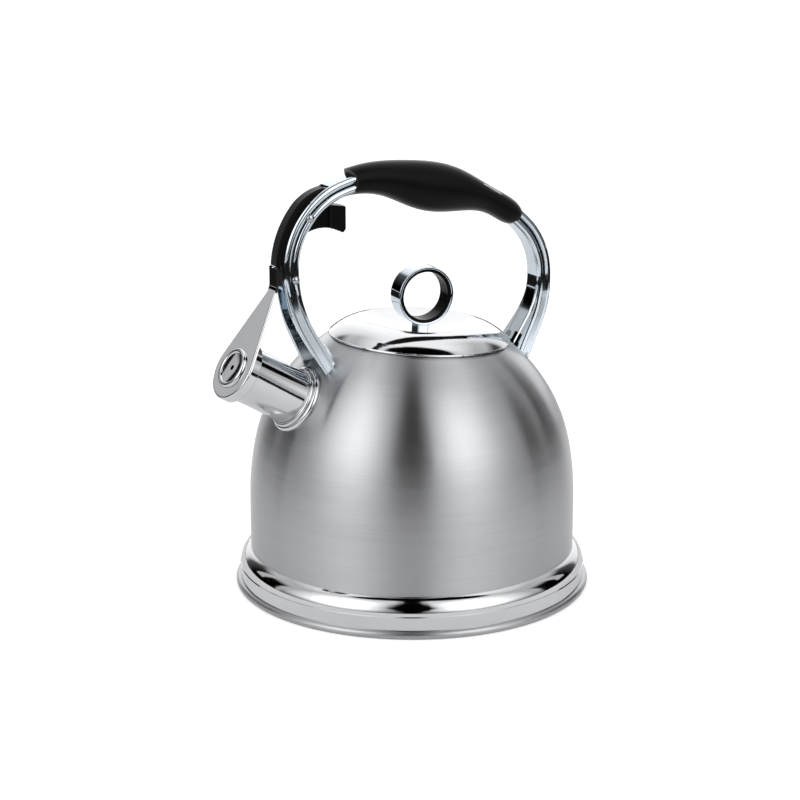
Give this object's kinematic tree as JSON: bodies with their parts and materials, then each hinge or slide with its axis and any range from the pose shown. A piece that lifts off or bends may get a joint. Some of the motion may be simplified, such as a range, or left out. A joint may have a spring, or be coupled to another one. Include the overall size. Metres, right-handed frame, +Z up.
{
  "type": "stovetop whistling kettle",
  "caption": "Domed steel stovetop kettle with a fixed arch handle, a finger trigger that swings the whistle cap off the spout, and a lift-off lid with a ring knob.",
  "frame": {"origin": "on the vessel axis, in the plane of the base that stands on the hob", "axes": "+Z up along the vessel axis; -X towards the spout; the handle arch lies in the XZ plane"},
  "size_m": [0.2397, 0.218, 0.2642],
  "materials": {
    "brushed_steel": "fine circumferential brushing",
    "polished_steel": "mirror polished stainless steel",
    "base_plate": "satin, turned",
    "core_aluminium": "as cast",
    "chrome": "bright chrome plate",
    "zinc_steel": "bright",
    "spring_steel": "drawn wire",
    "black_plastic": "satin black phenolic",
    "black_gloss": "smooth black"
  },
  "bodies": {
    "vessel": {"body_shell": "brushed_steel", "base_pan": "brushed_steel", "base_core": "core_aluminium", "base_cap": "base_plate", "base_skirt": "polished_steel", "spout_tube": "polished_steel", "spout_collar": "polished_steel", "handle_frame": "chrome", "front_bracket": "chrome", "rear_bracket": "chrome", "bracket_screws": "zinc_steel", "grip": "black_plastic", "trigger_pin": "zinc_steel", "lever_pin": "zinc_steel", "return_spring": "spring_steel"},
    "lever": {"lever_cover": "black_plastic", "lever_arm": "polished_steel", "link_pin": "zinc_steel", "whistle_cap": "polished_steel", "whistle_boss": "polished_steel"},
    "trigger": {"trigger": "black_plastic"},
    "lid": {"lid_shell": "polished_steel", "lid_collar": "brushed_steel", "knob_post": "chrome", "knob_ring": "chrome", "knob_liner": "black_gloss", "knob_washer": "zinc_steel", "knob_screw": "zinc_steel"}
  },
  "joints": [
    {"name": "lid_lift", "type": "slide", "parent": "vessel", "child": "lid", "axis": [0.0665, 0, 0.9978], "range_m": [0, 0.025]},
    {"name": "lever_swing", "type": "hinge", "parent": "vessel", "child": "lever", "pos_m": [-0.08267, 0, 0.20034], "axis": [0, 1, 0], "range_deg": [0, 8], "stiffness_Nm_per_rad": 0.4, "springref_deg": -22.92, "deforming": ["return_spring"]},
    {"name": "trigger_pull", "type": "hinge", "parent": "vessel", "child": "trigger", "pos_m": [-0.07255, 0, 0.23588], "axis": [0, -1, 0], "range_deg": [0, 7.4]}
  ],
  "couplings": [
    {"joint": "trigger_pull", "follows": "lever_swing", "ratio": 0.925}
  ]
}
